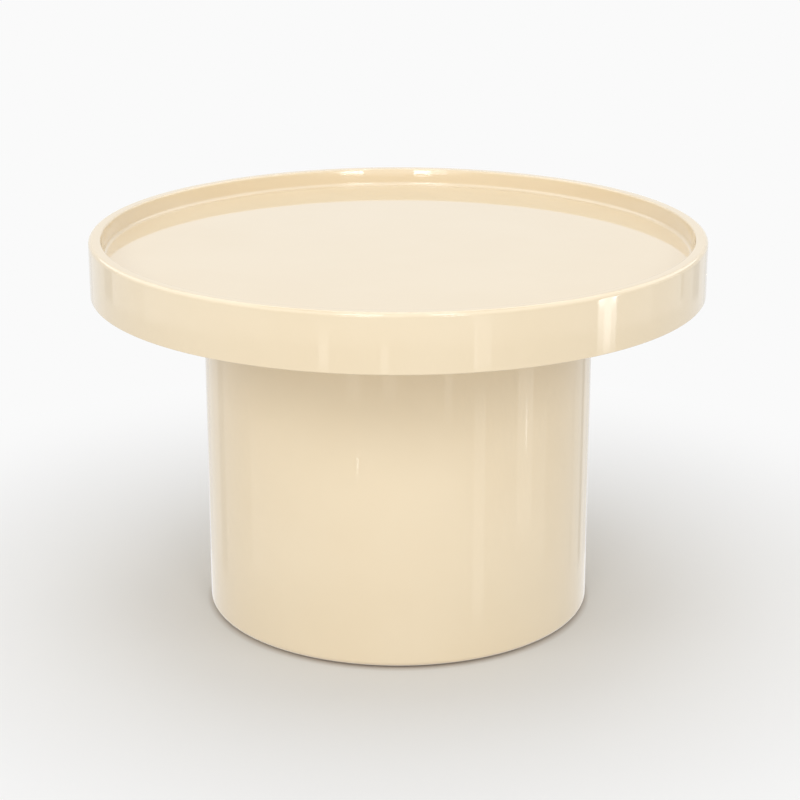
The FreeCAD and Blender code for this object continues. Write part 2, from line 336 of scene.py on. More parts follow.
def make_piece(name, mesh, finish, node, body=TABLE_BODY):
    """Links a mesh as a smooth-shaded piece that rides on a body and stands for a CAD node."""
    builder = bmesh.new()
    builder.from_mesh(mesh)
    bmesh.ops.recalc_face_normals(builder, faces=builder.faces)
    for face in builder.faces:
        face.smooth = True
    for edge in builder.edges:
        edge.smooth = edge.calc_face_angle(0.0) < SHARP_ANGLE
    builder.to_mesh(mesh)
    builder.free()
    mesh.name = name
    mesh.materials.append(shared(finish))
    piece = bpy.data.objects.new(name, mesh)
    bpy.context.scene.collection.objects.link(piece)
    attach(piece, body)
    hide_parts(node)


def repaint(node, finish):
    """Gives a CAD node a new finish."""
    slots = NODES[node].data.materials
    slots.clear()
    slots.append(shared(finish))


def hexagon(width, limit=math.inf):
    """The radius at an angle of a hexagon of this width across its flats.

    Its corners are turned down to a limit.
    """
    def radius(angle):
        corner = (angle + math.pi / 6) % (math.pi / 3) - math.pi / 6
        return min(width / 2 / math.cos(corner), limit)
    return radius


def cross(length, width):
    """The radius of a cross-shaped recess at an angle."""
    def arm(angle):
        along = abs(math.cos(angle)) + HAIR
        across = abs(math.sin(angle)) + HAIR
        return min(length / 2 / along, width / 2 / across)

    def radius(angle):
        return max(arm(angle), arm(angle + math.pi / 2))
    return radius


def cross_corners(length, width):
    """The angles of the corners of such a recess."""
    outer = math.atan2(width, length)
    quarters = [math.pi / 2 * i for i in range(4)]
    return [quarter + turn for quarter in quarters for turn in (-outer, outer, math.pi / 4)]


def thread_rows(radius, depth, pitch, low, high):
    """Rows of a right-hand thread, which fades out over a turn at both ends."""
    def ridge(z):
        fade = min(1.0, (z - low) / pitch, (high - z) / pitch)

        def at(angle):
            phase = (z / pitch - angle / (2 * math.pi)) % 1.0
            return radius - depth * fade * abs(2 * phase - 1)
        return at

    count = round((high - low) / pitch * THREAD_ROWS_PER_TURN)
    heights = [low + (high - low) * i / count for i in range(count + 1)]
    return [(ridge(z), z) for z in heights]


def ball_rows(radius, centre, first, last):
    """Rows of a ball between two angles from its top."""
    turns = [first + (last - first) * i / BALL_STEPS for i in range(BALL_STEPS + 1)]
    return [(radius * math.sin(turn), centre + radius * math.cos(turn)) for turn in turns]


# Materials

NOISE_LOW = 0.3
NOISE_HIGH = 0.7
SWELL_TO_PEEL = 6


def fill_inputs(tree, node, inputs):
    """Sets inputs of a node, by name or number, to values or links them to sockets."""
    for key, value in inputs.items():
        if isinstance(value, bpy.types.NodeSocket):
            tree.links.new(value, node.inputs[key])
        else:
            node.inputs[key].default_value = value


def add_node(tree, kind, inputs, **settings):
    """Adds a node with these inputs and settings."""
    node = tree.nodes.new(kind)
    for name, value in settings.items():
        setattr(node, name, value)
    fill_inputs(tree, node, inputs)
    return node


class Finish:
    """A material with a Principled shader, and short ways to add textures to it."""

    def __init__(self, name, roughness=0.5, metallic=0.0):
        self.material = bpy.data.materials.new(name)
        self.material.use_nodes = True
        self.tree = self.material.node_tree
        self.place = self.tree.nodes.new("ShaderNodeTexCoord").outputs["Object"]
        self.shader = self.tree.nodes["Principled BSDF"]
        self.set_shader({"Roughness": roughness, "Metallic": metallic})

    def set_shader(self, inputs):
        fill_inputs(self.tree, self.shader, inputs)

    def noise(self, scale, detail=2.0, roughness=0.5, stretch=(1.0, 1.0, 1.0), distortion=0.0):
        """A cloudy factor over the surface, scaled apart along X, Y and Z."""
        mapping = add_node(
            self.tree, "ShaderNodeMapping", {"Vector": self.place, "Scale": stretch})
        texture = add_node(self.tree, "ShaderNodeTexNoise", {
            "Vector": mapping.outputs["Vector"], "Scale": scale, "Detail": detail,
            "Roughness": roughness, "Distortion": distortion})
        return texture.outputs["Fac"]

    def colour(self, factor, *stops):
        """Colours the surface by a factor, through stops (position, colour)."""
        ramp = add_node(self.tree, "ShaderNodeValToRGB", {"Fac": factor})
        elements = ramp.color_ramp.elements
        while len(elements) < len(stops):
            elements.new(0.5)
        for element, (position, colour) in zip(elements, stops):
            element.position = position
            element.color = (*colour, 1.0)
        self.set_shader({"Base Color": ramp.outputs["Color"]})
        return ramp.outputs["Color"]

    def roughness(self, factor, low, high):
        """Varies the roughness by a factor, between a lowest and a highest value."""
        span = add_node(self.tree, "ShaderNodeMapRange", {
            "Value": factor, "From Min": NOISE_LOW, "From Max": NOISE_HIGH,
            "To Min": low, "To Max": high})
        self.set_shader({"Roughness": span.outputs["Result"]})

    def relief(self, *layers):
        """Bumps the surface by layers (factor, depth in metres), one on top of the other."""
        below = {}
        for factor, depth in layers:
            bump = add_node(
                self.tree, "ShaderNodeBump", {"Height": factor, "Distance": depth, **below})
            below = {"Normal": bump.outputs["Normal"]}
        self.set_shader({**below, "Coat Normal": below["Normal"]})


def shared(build):
    """The material that a function builds, named after it and built when first asked for."""
    name = build.__name__
    return bpy.data.materials.get(name) or build(name)


def toned(colour, factor):
    """A colour made lighter or darker by a factor."""
    return [c * factor for c in colour]


def gloss_lacquer(name):
    """Sprayed lacquer under a polished clear coat: an even cream with clouds and a fine ripple."""
    look = bpy.context.scene.side_table.lacquer
    finish = Finish(name)
    finish.set_shader({"Coat Weight": look.coat_weight, "Coat Roughness": look.coat_roughness})
    clouds = finish.noise(scale=9.0, detail=3.0)
    finish.colour(clouds, (0.35, look.deep_colour), (0.65, look.light_colour))
    finish.roughness(finish.noise(scale=40.0, detail=3.0), look.smoothest, look.roughest)
    swell = finish.noise(scale=14.0, detail=1.0)
    ripple = finish.noise(scale=look.peel_scale, detail=1.0)
    finish.relief((swell, look.peel_depth * SWELL_TO_PEEL), (ripple, look.peel_depth))
    return finish.material


def satin_sealer(name):
    """The thin coat under the tray: the lacquer's cream, but duller, over the board's fibres."""
    deep = bpy.context.scene.side_table.lacquer.deep_colour
    finish = Finish(name)
    clouds = finish.noise(scale=14.0, detail=4.0)
    finish.colour(clouds, (NOISE_LOW, toned(deep, 0.92)), (NOISE_HIGH, deep))
    finish.roughness(finish.noise(scale=60.0), low=0.38, high=0.52)
    finish.relief((finish.noise(scale=900.0, detail=3.0), 0.00005))
    return finish.material


def raw_fibreboard(name):
    """Unpainted fibreboard: a felt of short fibres in light and dark brown."""
    dark, middle, light = (0.20, 0.115, 0.055), (0.40, 0.265, 0.145), (0.54, 0.385, 0.235)
    finish = Finish(name)
    fibres = finish.noise(scale=520.0, detail=6.0, roughness=0.7, distortion=1.5)
    finish.colour(fibres, (0.25, dark), (0.5, middle), (0.8, light))
    finish.roughness(fibres, low=0.78, high=0.95)
    finish.relief((fibres, 0.0002))
    return finish.material


def planed_pine(name):
    """Pine battens: growth rings drawn out along the length, with fine pores."""
    dark, middle, light = (0.47, 0.27, 0.115), (0.69, 0.475, 0.255), (0.78, 0.585, 0.355)
    finish = Finish(name)
    rings = finish.noise(
        scale=7.0, detail=4.0, roughness=0.6, stretch=(14.0, 14.0, 0.7), distortion=0.6)
    pores = finish.noise(scale=260.0, detail=3.0, stretch=(3.0, 3.0, 0.12))
    finish.colour(rings, (0.3, dark), (0.5, middle), (0.72, light))
    finish.roughness(pores, low=0.55, high=0.75)
    finish.relief((rings, 0.0002), (pores, 0.0001))
    return finish.material


def turned_beech(name):
    """Beech dowels: a pinkish brown with short dark flecks along the grain."""
    dark, middle, light = (0.36, 0.20, 0.10), (0.60, 0.40, 0.235), (0.68, 0.475, 0.30)
    finish = Finish(name)
    flecks = finish.noise(scale=420.0, detail=4.0, stretch=(3.0, 3.0, 0.35))
    finish.colour(flecks, (0.3, dark), (0.5, middle), (0.75, light))
    finish.roughness(flecks, low=0.5, high=0.7)
    finish.relief((flecks, 0.00008))
    return finish.material


def plated_metal(name, dark, light, smoothest, roughest):
    """Plated or cast metal: a mottled sheen with fine tool marks."""
    finish = Finish(name, metallic=1.0)
    mottle = finish.noise(scale=240.0, detail=4.0, roughness=0.6)
    marks = finish.noise(scale=1500.0, stretch=(1.0, 1.0, 4.0))
    finish.colour(mottle, (NOISE_LOW, dark), (NOISE_HIGH, light))
    finish.roughness(mottle, smoothest, roughest)
    finish.relief((marks, 0.00001))
    return finish.material


def zinc_plate(name):
    colour = bpy.context.scene.side_table.hardware.steel_colour
    return plated_metal(name, toned(colour, 0.86), colour, smoothest=0.24, roughest=0.38)


def yellow_zinc_plate(name):
    dark, light = (0.52, 0.39, 0.15), (0.70, 0.57, 0.30)
    return plated_metal(name, dark, light, smoothest=0.26, roughest=0.4)


def cast_zinc(name):
    dark, light = (0.42, 0.43, 0.45), (0.54, 0.55, 0.57)
    return plated_metal(name, dark, light, smoothest=0.36, roughest=0.52)


def moulded_nylon(name):
    """Black moulded nylon with a fine eroded texture."""
    colour = bpy.context.scene.side_table.hardware.nylon_colour
    finish = Finish(name)
    grain = finish.noise(scale=1400.0, detail=3.0)
    finish.colour(grain, (NOISE_LOW, toned(colour, 0.7)), (NOISE_HIGH, toned(colour, 1.3)))
    finish.roughness(grain, low=0.42, high=0.6)
    finish.relief((grain, 0.00003))
    return finish.material


# Pieces of the tray

PANEL_RINGS = (0.66, 0.33)


class SIDETABLE_OT_tray_rim(bpy.types.Operator):
    """Build the lacquered rim of the tray"""
    bl_idname = "sidetable.tray_rim"
    bl_label = "Tray Rim"

    def execute(self, context):
        shape = context.scene.side_table.tray
        outer = outer_radius("tray_rim")
        inner = outer - shape.wall
        low = low_of("tray_rim")
        top = top_of("tray_rim")
        floor = top - shape.depth
        lap = inner - shape.lap_width
        rows = rounded_section([
            (outer, low, shape.lower_round),
            (outer, top, shape.outer_round),
            (inner, top, shape.inner_round),
            (inner - shape.draft, floor, shape.cove),
            (lap, floor, 0),
            (lap, floor - shape.lap_depth, 0),
            (inner, floor - shape.lap_depth, 0),
            (inner, low, 0),
        ])
        mesh = swept_mesh(rows, even_angles(shape.segments), closed=True)
        make_piece("lacquered_rim", mesh, gloss_lacquer, "tray_rim")
        return {"FINISHED"}


class SIDETABLE_OT_tray_panel(bpy.types.Operator):
    """Build the lacquered floor of the tray"""
    bl_idname = "sidetable.tray_panel"
    bl_label = "Tray Panel"

    def execute(self, context):
        shape = context.scene.side_table.tray
        edge = outer_radius("tray_panel")
        seam = outer_radius("tray_rim") - shape.wall - shape.lap_width
        low = low_of("tray_panel")
        top = top_of("tray_panel")
        rows = [
            (0, low),
            (edge, low),
            (edge, top - shape.lap_depth),
            (seam, top - shape.lap_depth),
            (seam, top),
            *((seam * share, top) for share in PANEL_RINGS),
            (0, top),
        ]
        mesh = swept_mesh(rows, even_angles(shape.segments))
        make_piece("lacquered_panel", mesh, gloss_lacquer, "tray_panel")
        return {"FINISHED"}


class SIDETABLE_OT_tray_backing(bpy.types.Operator):
    """Seal the board under the tray"""
    bl_idname = "sidetable.tray_backing"
    bl_label = "Tray Backing Board"

    def execute(self, context):
        repaint("tray_backing_board", satin_sealer)
        return {"FINISHED"}


# Pieces of the drum

UPRIGHT_FACE = 0.5


class SIDETABLE_OT_base_shell(bpy.types.Operator):
    """Build the lacquered wall of the drum, raw on its inner side"""
    bl_idname = "sidetable.base_shell"
    bl_label = "Drum Shell"

    def execute(self, context):
        settings = context.scene.side_table
        outer = outer_radius("base_shell")
        inner = inner_radius("base_shell")
        low = low_of("base_shell")
        top = top_of("base_shell")
        chamfer = settings.drum.inner_chamfer
        rows = rounded_section([
            (inner + chamfer, low, 0),
            (outer, low, settings.drum.lower_round),
            (outer, top, 0),
            (inner, top, 0),
            (inner, low + chamfer, 0),
        ])
        mesh = swept_mesh(rows, even_angles(settings.tray.segments), closed=True)
        make_piece("lacquered_shell", mesh, gloss_lacquer, "base_shell")
        mesh.materials.append(shared(raw_fibreboard))
        for face in mesh.polygons:
            upright = abs(face.normal.z) < UPRIGHT_FACE
            if upright and face.center.xy.length < inner + chamfer / 2:
                face.material_index = 1
        return {"FINISHED"}


class SIDETABLE_OT_base_boards(bpy.types.Operator):
    """Finish the plate and the ring inside the drum as raw board"""
    bl_idname = "sidetable.base_boards"
    bl_label = "Drum Boards"

    def execute(self, context):
        for node in ("base_top_plate", "base_bottom_ring"):
            repaint(node, raw_fibreboard)
        return {"FINISHED"}


class SIDETABLE_OT_base_uprights(bpy.types.Operator):
    """Finish the battens between ring and plate as planed pine"""
    bl_idname = "sidetable.base_uprights"
    bl_label = "Drum Uprights"

    def execute(self, context):
        for number in UPRIGHT_NUMBERS:
            repaint(f"base_upright_{number}", planed_pine)
        return {"FINISHED"}


# Fasteners, each standing on z = 0 round the Z axis

HARDWARE_STEPS = 48
STEPS_PER_FLUTE = 8
STEPS_PER_RIB = 12
BOLT_COUNT = 4
BOLT_CIRCLE_RADIUS = 0.120
BOLT_FIRST_ANGLE = 45.0
DOWEL_COUNT = 2
SCREW_CIRCLE_RADIUS = 0.164
SCREW_SPACING = 0.020
FOOT_FIRST_ANGLE = 45.0


def button_bolt(hardware):
    """A button-head bolt, head down, with a hexagon socket and a rolled thread."""
    head_radius, head_height, dome, seat_edge = 0.007, 0.0044, 0.0036, 0.0003
    socket, socket_depth, drill_point = hexagon(0.005), 0.0026, 0.0006
    radius, length, chamfer = 0.004, 0.035, 0.001
    tip = head_height + length
    head = rounded_section([
        (0, 0, 0),
        (head_radius, 0, dome),
        (head_radius, head_height, seat_edge),
        (radius, head_height, 0),
    ])
    rows = [(0, socket_depth + drill_point), (socket, socket_depth), (socket, 0.0), *head[1:]]
    rows += thread_rows(
        radius, hardware.thread_depth, hardware.thread_pitch,
        low=head_height + chamfer, high=tip - chamfer)
    rows += [(radius - chamfer, tip), (0, tip)]
    return swept_mesh(rows, even_angles(HARDWARE_STEPS))


def plain_washer():
    """A stamped washer with softened edges."""
    hole, radius, thickness, edge = 0.0045, 0.012, 0.002, 0.0004
    rows = rounded_section([
        (hole, 0, edge),
        (radius, 0, edge),
        (radius, thickness, edge),
        (hole, thickness, edge),
    ])
    return swept_mesh(rows, even_angles(HARDWARE_STEPS), closed=True)


def fluted_dowel():
    """A dowel with glue flutes along it and chamfered ends."""
    radius, length, chamfer = 0.005, 0.032, 0.0012
    flutes, flute_depth, run_out = 20, 0.0004, 0.0008

    def fluted(angle):
        return radius - flute_depth * max(0.0, math.cos(flutes * angle)) ** 2

    rows = [
        (0, 0),
        (radius - chamfer, 0),
        (radius, chamfer),
        (fluted, chamfer + run_out),
        (fluted, length - chamfer - run_out),
        (radius, length - chamfer),
        (radius - chamfer, length),
        (0, length),
    ]
    return swept_mesh(rows, even_angles(flutes * STEPS_PER_FLUTE))


def threaded_insert():
    """A flanged insert with a coarse thread outside, flange down."""
    bore, mouth, barrel, length = 0.00405, 0.0006, 0.006, 0.017
    flange, thickness, edge = 0.009, 0.0015, 0.0003
    coarse_pitch, coarse_depth, lead = 0.003, 0.0009, 0.0008
    rows = rounded_section([
        (bore + mouth, 0, 0),
        (flange, 0, edge),
        (flange, thickness, edge),
        (barrel, thickness, 0),
    ])
    rows += thread_rows(barrel, coarse_depth, coarse_pitch, thickness + lead, length - lead)
    rows += [(barrel - lead, length), (bore, length), (bore, mouth)]
    return swept_mesh(rows, even_angles(HARDWARE_STEPS), closed=True)


def wood_screw():
    """A countersunk screw, head down, with a cross recess, a bare shank and a coarse thread."""
    head, shank, length, point = 0.005, 0.0025, 0.050, 0.006
    recess_length, recess_width, recess_depth, drill_point = 0.005, 0.0011, 0.002, 0.0007
    taper_along, taper_across = 0.7, 0.8
    thread_start, coarse_pitch, coarse_depth, edge = 0.018, 0.0025, 0.0008, 0.0002
    rows = [
        (0, recess_depth + drill_point),
        (cross(recess_length * taper_along, recess_width * taper_across), recess_depth),
        (cross(recess_length, recess_width), 0.0),
        (head - edge, 0.0),
        (head, edge),
        (shank, head - shank),
    ]
    rows += thread_rows(shank, coarse_depth, coarse_pitch, thread_start, length - point)
    rows.append((0, length))
    angles = even_angles(HARDWARE_STEPS, *cross_corners(recess_length, recess_width))
    return swept_mesh(rows, angles)


class SIDETABLE_OT_tray_fixings(bpy.types.Operator):
    """Build the bolts, washers, inserts and dowels that hold the tray on the drum"""
    bl_idname = "sidetable.tray_fixings"
    bl_label = "Tray Fixings"

    def execute(self, context):
        bolt = button_bolt(context.scene.side_table.hardware)
        for name, mesh, finish, slot, node in (
            ("threaded_bolts", bolt, zinc_plate, "zinc_steel", "fixing_bolts"),
            ("plated_washers", plain_washer(), zinc_plate, "zinc_steel", "fixing_washers"),
            ("cast_tray_inserts", threaded_insert(), cast_zinc, "zinc_alloy", "tray_inserts"),
        ):
            height = low_of(node)
            places = ring_places(BOLT_COUNT, BOLT_CIRCLE_RADIUS, height, BOLT_FIRST_ANGLE)
            make_piece(name, joined_copies(mesh, places), finish, node)
        places = ring_places(DOWEL_COUNT, BOLT_CIRCLE_RADIUS, low_of("locating_dowels"))
        dowels = joined_copies(fluted_dowel(), places)
        make_piece("fluted_dowels", dowels, turned_beech, "locating_dowels")
        return {"FINISHED"}


class SIDETABLE_OT_frame_screws(bpy.types.Operator):
    """Build the wood screws through the plate and the ring into the uprights"""
    bl_idname = "sidetable.frame_screws"
    bl_label = "Frame Screws"

    def execute(self, context):
        upended = Matrix.Rotation(math.pi, 4, "X")
        upright = Matrix.Identity(4)
        for name, node, height, turn in (
            ("upper_wood_screws", "upper_frame_screws", top_of("upper_frame_screws"), upended),
            ("lower_wood_screws", "lower_frame_screws", low_of("lower_frame_screws"), upright),
        ):
            places = []
            for side in (-SCREW_SPACING / 2, SCREW_SPACING / 2):
                places += ring_places(
                    len(UPRIGHT_NUMBERS), SCREW_CIRCLE_RADIUS, height, side=side)
            screws = joined_copies(wood_screw(), [place @ turn for place in places])
            make_piece(name, screws, yellow_zinc_plate, node)
        return {"FINISHED"}


# Levelling feet

BALL_CENTRE = 0.0086


def slotted_stem(hardware):
    """A levelling stem: ball, neck, hexagon collar, thread and a slot across the tip."""
    ball, neck = 0.0055, 0.0032
    collar_low, collar_top, collar_width = 0.0147, 0.0197, 0.013
    shoulder_slope, shoulder_steps = math.radians(30.0), 4
    radius, length, chamfer = 0.004, 0.040, 0.001
    slot_width, slot_depth = 0.0014, 0.0022
    tip = collar_top + length
    flat = collar_width / 2
    corner = collar_width / math.sqrt(3)
    drop = (corner - flat) * math.tan(shoulder_slope)
    shares = [i / shoulder_steps for i in range(shoulder_steps + 1)]
    shoulder = [(hexagon(collar_width, flat + (corner - flat) * s), drop * s) for s in shares]
    rows = ball_rows(ball, BALL_CENTRE, math.pi, math.asin(neck / ball))
    rows[0] = (0, BALL_CENTRE - ball)
    rows.append((neck, collar_low))
    rows += [(outline, collar_low + rise) for outline, rise in shoulder]
    rows += [(outline, collar_top - rise) for outline, rise in reversed(shoulder)]
    rows.append((radius, collar_top))
    rows += thread_rows(
        radius, hardware.thread_depth, hardware.thread_pitch,
        low=collar_top + chamfer, high=tip - chamfer)
    rows += [(radius - chamfer, tip), (0, tip)]
    stem = swept_mesh(rows, even_angles(HARDWARE_STEPS))
    builder = bmesh.new()
    bmesh.ops.create_cube(builder, size=1.0)
    cutter_size = (4 * radius, slot_width, 2 * slot_depth)
    bmesh.ops.scale(builder, vec=cutter_size, verts=builder.verts)
    bmesh.ops.translate(builder, vec=(0.0, 0.0, tip), verts=builder.verts)
    slot = bpy.data.meshes.new("slot")
    builder.to_mesh(slot)
    builder.free()
    return cut_away(stem, slot)


def ribbed_pad():
    """A moulded pad: a grooved sole, ribs from its rim to its boss, and a socket for the ball."""
    sole, edge, edge_round = 0.018, 0.004, 0.0012
    boss, height, boss_round = 0.009, 0.012, 0.001
    socket = 0.0056
    groove, flank = 0.0006, 0.0005
    tread_start, tread_end, edge_start = 0.011, 0.0125, 0.015
    ribs, rib_depth, rib_rows = 10, 0.0012, 8
    hollow_power, swell_power = 0.6, 0.5
    mouth = math.acos((height - BALL_CENTRE) / socket)
    sole_rows = [
        (0, groove),
        (tread_start - flank, groove),
        (tread_start, 0),
        (tread_end, 0),
        (tread_end + flank, groove),
        (edge_start - flank, groove),
        (edge_start, 0),
    ]
    outside = rounded_section([
        (0, 0, 0),
        (sole, 0, edge_round),
        (sole, edge, edge_round),
        (boss, height, boss_round),
        (socket * math.sin(mouth), height, 0),
    ])[1:]
    split = 2 * POINTS_PER_ROUND
    start = Vector(outside[split - 1])
    end = Vector(outside[split])

    def hollow(radius, depth):
        def at(angle):
            return radius - depth * (0.5 - 0.5 * math.cos(ribs * angle)) ** hollow_power
        return at

    slope = []
    for i in range(1, rib_rows):
        share = i / rib_rows
        point = start.lerp(end, share)
        depth = rib_depth * math.sin(math.pi * share) ** swell_power
        slope.append((hollow(point.x, depth), point.y))
    cup = ball_rows(socket, BALL_CENTRE, mouth, math.pi)
    cup[-1] = (0, BALL_CENTRE - socket)
    rows = sole_rows + outside[:split] + slope + outside[split:-1] + cup
    return swept_mesh(rows, even_angles(ribs * STEPS_PER_RIB))


class SIDETABLE_OT_leveller_inserts(bpy.types.Operator):
    """Build the inserts in the bottom ring that the levelling feet screw into"""
    bl_idname = "sidetable.leveller_inserts"
    bl_label = "Foot Inserts"

    def execute(self, context):
        reach = foot_place(FOOT_NUMBERS[0]).length
        height = low_of("leveller_inserts")
        places = ring_places(len(FOOT_NUMBERS), reach, height, FOOT_FIRST_ANGLE)
        inserts = joined_copies(threaded_insert(), places)
        make_piece("cast_foot_inserts", inserts, cast_zinc, "leveller_inserts")
        return {"FINISHED"}


class SIDETABLE_OT_levellers(bpy.types.Operator):
    """Build the stems and pads of the levelling feet"""
    bl_idname = "sidetable.levellers"
    bl_label = "Levelling Feet"

    def execute(self, context):
        stem = slotted_stem(context.scene.side_table.hardware)
        pad = ribbed_pad()
        for number in FOOT_NUMBERS:
            place = foot_place(number)
            outward = Matrix.Rotation(math.atan2(place.y, place.x), 4, "Z")
            for shape, name, finish, slot, part in (
                (stem, "slotted_stem", zinc_plate, "zinc_steel", "leveller_stem"),
                (pad, "ribbed_pad", moulded_nylon, "black_nylon", "leveller_pad"),
            ):
                mesh = shape.copy()
                mesh.transform(Matrix.Translation(place) @ outward)
                node = f"{part}_{number}"
                make_piece(f"{name}_{number}", mesh, finish, node, body=node)
        for shape in (stem, pad):
            bpy.data.meshes.remove(shape)
        return {"FINISHED"}


# Stage

class Softbox(NamedTuple):
    """A soft light, with its azimuth from the front and elevation in degrees, its power in watts.

    The gloss shows it only if it is mirrored.
    """
    name: str
    azimuth: float
    elevation: float
    width: float
    height: float
    power: float
    mirrored: bool


class Card(NamedTuple):
    """An upright card that shows only in the gloss, with its azimuth and spread in degrees.

    Its light fades out at both ends, over a part of its height.
    """
    name: str
    azimuth: float
    spread: float
    low: float
    high: float
    fade: float
    brightness: float


WHITE = (1.0, 1.0, 1.0, 1.0)
FLOOR_HALF_WIDTH = 30.0
FLOOR_SHEEN = 0.1
FLOOR_MOTTLE = 0.995
# Shade painted into the floor's colour round the drum's foot: how far it reaches and how it tints.
PAINTED_SHADE_REACH = 0.007
PAINTED_SHADE_TINT = (0.62, 0.52, 0.42)
FADE_START = 0.10
FADE_END = 0.74
AIM = Vector((0.0, 0.0, 0.25))
SOFTBOX_DISTANCE = 6.0
CARD_DISTANCE = 2.6
CARD_STEP = 0.01
CARD_BEND = 10.0
CARD_MIDDLE = 0.5
FIRST_BOUNCE_LIMIT = 1.5

SOFTBOXES = (
    Softbox("left_softbox", -14.5, 28.7, 1.80, 4.80, 81.0, False),
    Softbox("right_softbox", 19.0, 29.1, 1.30, 4.80, 54.5, False),
    Softbox("left_side_softbox", -60.0, 32.0, 3.20, 2.00, 55.7, False),
    Softbox("right_side_softbox", 60.0, 32.0, 3.20, 2.00, 44.7, False),
    Softbox("overhead_softbox", 0.0, 89.9, 2.40, 2.40, 41.0, True),
    Softbox("back_softbox", 180.0, 55.0, 4.80, 2.00, 60.4, True),
    Softbox("right_back_softbox", 130.0, 35.0, 3.20, 2.00, 4.9, True),
)

# Each card stands a little farther out than the one before it, which hides it where they overlap.
# Flags are darker than the white surroundings. Most cards and flags reach below the floor, which
# the gloss does not show, so that they draw out down the rim and the drum.
CARDS = (
    Card("card_side_core", 76.4, 3.2, -0.43, 0.25, 0.25, 5.2),
    Card("card_side_top", 76.3, 8.4, -0.295, 0.25, 0.05, 9.0),
    Card("card_side", 76.3, 8.4, -0.36, -0.20, 0.3, 3.4),
    Card("card_side_mid", 76.3, 8.4, -0.44, -0.20, 0.4, 2.4),
    Card("card_side_thin", 78.2, 0.8, -0.675, -0.55, 0.25, 4.4),
    Card("card_side_low", 77.4, 11.4, -0.92, -0.40, 0.25, 1.6),
    Card("card_left_rim", -25.0, 3.6, -0.43, -0.30, 0.4, 2.0),
    Card("card_left", -25.0, 8.0, -0.56, -0.42, 0.3, 1.45),
    Card("card_left_thin", -22.8, 1.0, -0.702, -0.674, 0.1, 5.0),
    Card("card_middle_rim", -4.5, 2.6, -0.43, -0.35, 0.3, 1.85),
    Card("card_middle", -4.5, 7.7, -0.56, -0.42, 0.3, 1.45),
    Card("card_right_core", 26.0, 1.2, -0.43, -0.22, 0.1, 2.2),
    Card("card_right_rim", 28.5, 6.0, -0.43, -0.22, 0.1, 1.85),
    Card("card_right", 28.0, 4.4, -0.62, -0.42, 0.3, 1.5),
    Card("card_far_right", 47.0, 7.0, -1.14, -0.50, 0.25, 1.65),
    Card("card_low_left_core", -10.3, 7.0, 0.30, 0.56, 0.05, 12.0),
    Card("card_low_left", -13.8, 14.0, 0.30, 0.56, 0.05, 5.0),
    Card("card_low_right_core", 19.7, 9.7, 0.30, 0.56, 0.05, 12.0),
    Card("card_low_right", 21.0, 12.6, 0.30, 0.56, 0.05, 4.0),
    Card("card_low_ring", 0.0, 230.0, 0.30, 0.56, 0.05, 2.4),
    Card("card_mid_left", -8.5, 21.0, 0.58, 1.12, 0.1, 2.4),
    Card("card_high_left", -14.5, 17.0, 2.00, 4.40, 0.1, 7.0),
    Card("card_high_right", 19.0, 12.0, 2.00, 4.40, 0.1, 7.0),
    Card("card_ring", 0.0, 290.0, 1.10, 5.60, 0.04, 2.4),
    Card("flag_rim_left", -127.0, 8.0, -0.40, -0.20, 0.1, 0.78),
    Card("flag_drum_left", -127.0, 8.0, -1.12, -0.44, 0.1, 0.80),
    Card("flag_rim_right", 121.5, 2.5, -0.40, -0.20, 0.1, 0.80),
    Card("flag_rim_back_right", 136.5, 8.0, -0.42, -0.20, 0.1, 0.78),
    Card("flag_drum_back_right", 140.0, 5.0, -1.12, -0.44, 0.1, 0.70),
    Card("flag_drum_right", 124.5, 4.0, -1.12, -0.44, 0.1, 0.92),
    Card("flag_edge_left", -163.0, 26.0, -1.12, -0.20, 0.05, 0.90),
    Card("flag_edge_right", 163.0, 26.0, -1.12, -0.20, 0.05, 0.90),
    Card("card_rim_ring", 0.0, 200.0, -0.43, -0.20, 0.05, 1.45),
    Card("card_rim_wide", 0.0, 246.0, -0.43, -0.20, 0.05, 1.2),
    Card("card_drum_ring", 0.0, 190.0, -1.14, -0.64, 0.25, 1.25),
)


def math_node(tree, operation, first, second):
    """The result of a Math node on two sockets or numbers."""
    node = add_node(tree, "ShaderNodeMath", {0: first, 1: second}, operation=operation)
    return node.outputs[0]


def show_mixed(tree, output, factor, first, second):
    """Shows two shaders mixed by a factor."""
    inputs = {0: factor, 1: first.outputs[0], 2: second.outputs[0]}
    mix = add_node(tree, "ShaderNodeMixShader", inputs)
    fill_inputs(tree, output, {"Surface": mix.outputs[0]})


def seen_directly(tree):
    """1 for rays from the camera, and for mirrored and refracted rays that should see the same."""
    ray = tree.nodes.new("ShaderNodeLightPath").outputs
    either = math_node(tree, "MAXIMUM", ray["Is Camera Ray"], ray["Is Glossy Ray"])
    return math_node(tree, "MAXIMUM", either, ray["Is Transmission Ray"])


def white_world(studio):
    """Even light all round, with a white backdrop that is a little brighter in the gloss."""
    world = bpy.data.worlds.new("studio_world")
    bpy.context.scene.world = world
    world.use_nodes = True
    tree = world.node_tree
    lit = tree.nodes["Background"]
    fill_inputs(tree, lit, {"Color": WHITE, "Strength": studio.sky_level})
    path = tree.nodes.new("ShaderNodeLightPath")
    level = add_node(tree, "ShaderNodeMapRange", {
        "Value": path.outputs["Is Camera Ray"],
        "To Min": studio.mirror_level, "To Max": studio.backdrop_level})
    shown = add_node(
        tree, "ShaderNodeBackground", {"Color": WHITE, "Strength": level.outputs["Result"]})
    show_mixed(tree, tree.nodes["World Output"], seen_directly(tree), lit, shown)


